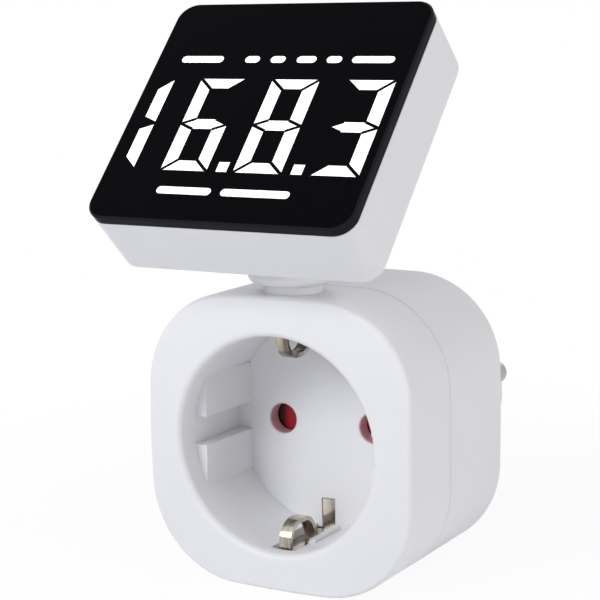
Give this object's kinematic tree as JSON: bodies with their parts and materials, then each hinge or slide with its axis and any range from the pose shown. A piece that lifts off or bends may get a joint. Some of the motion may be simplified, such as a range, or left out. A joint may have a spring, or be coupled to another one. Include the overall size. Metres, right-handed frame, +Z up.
{
  "type": "smart energy monitor",
  "caption": "Plug-in energy monitor with an earthed mains recess in front, a round plug behind, and a tilting and swivelling digit display on top.",
  "frame": {"origin": "middle of the plug's end face, between its two pins", "axes": "+Y from the front face towards the wall socket, +Z up, +X to the right as the user sees it"},
  "size_m": [0.0532, 0.0968, 0.1034],
  "materials": {
    "shell_plastic": "fine satin moulding",
    "window_black": "polished",
    "digit_light": "lit white",
    "block_black": "matt",
    "shutter_red": "satin",
    "carrier_plastic": "matt",
    "nickel_plate": "bright plated",
    "contact_brass": "rolled",
    "screw_steel": "zinc plated",
    "board_green": "solder mask",
    "film_yellow": "satin",
    "can_metal": "drawn",
    "disc_blue": "dipped",
    "lead_grey": "satin"
  },
  "bodies": {
    "base": {"front_shell": "shell_plastic", "rear_shell": "shell_plastic", "metering_chip": "block_black", "contact_carrier": "carrier_plastic", "board_plug": "carrier_plastic", "neck_washer": "carrier_plastic", "plug_pin_live": "nickel_plate", "plug_pin_neutral": "nickel_plate", "earth_strip_top": "nickel_plate", "earth_strip_bottom": "nickel_plate", "contact_live": "contact_brass", "contact_neutral": "contact_brass", "shunt_strap": "contact_brass", "neutral_strap": "contact_brass", "earth_bridge": "contact_brass", "case_screws": "screw_steel", "carrier_screws": "screw_steel", "board_screws": "screw_steel", "shutter_spring": "screw_steel", "main_board": "board_green", "film_capacitor": "film_yellow", "can_capacitor": "can_metal", "surge_disc": "disc_blue", "display_lead": "lead_grey"},
    "neck": {"neck": "shell_plastic", "neck_clip": "carrier_plastic", "neck_lead": "lead_grey"},
    "head": {"head_shell": "shell_plastic", "hinge_pins": "screw_steel", "display_window": "window_black", "light_block": "block_black", "digit_guides": "digit_light", "dark_guides": "window_black", "lamp_guides": "digit_light", "display_board": "board_green", "head_screws": "screw_steel", "driver_chip": "block_black", "lead_socket": "carrier_plastic", "push_switch": "block_black", "head_lead": "lead_grey"},
    "button": {"function_button": "shell_plastic"},
    "shutter": {"shutter": "shutter_red"}
  },
  "joints": [
    {"name": "neck_swivel", "type": "hinge", "parent": "base", "child": "neck", "pos_m": [0, -0.051, 0.0282], "axis": [0, 0, 1], "range_deg": [-135, 135]},
    {"name": "head_tilt", "type": "hinge", "parent": "neck", "child": "head", "pos_m": [0, -0.051, 0.0355], "axis": [1, 0, 0], "range_deg": [-46, 16]},
    {"name": "button_press", "type": "slide", "parent": "head", "child": "button", "axis": [0, -0.7284, 0.6852], "range_m": [0, 0.0004], "stiffness_N_per_m": 1500, "springref_m": -0.0002},
    {"name": "shutter_turn", "type": "hinge", "parent": "base", "child": "shutter", "pos_m": [0, -0.0348, 0], "axis": [0, 1, 0], "range_deg": [0, 45], "stiffness_Nm_per_rad": 0.002, "springref_deg": -11.46}
  ]
}
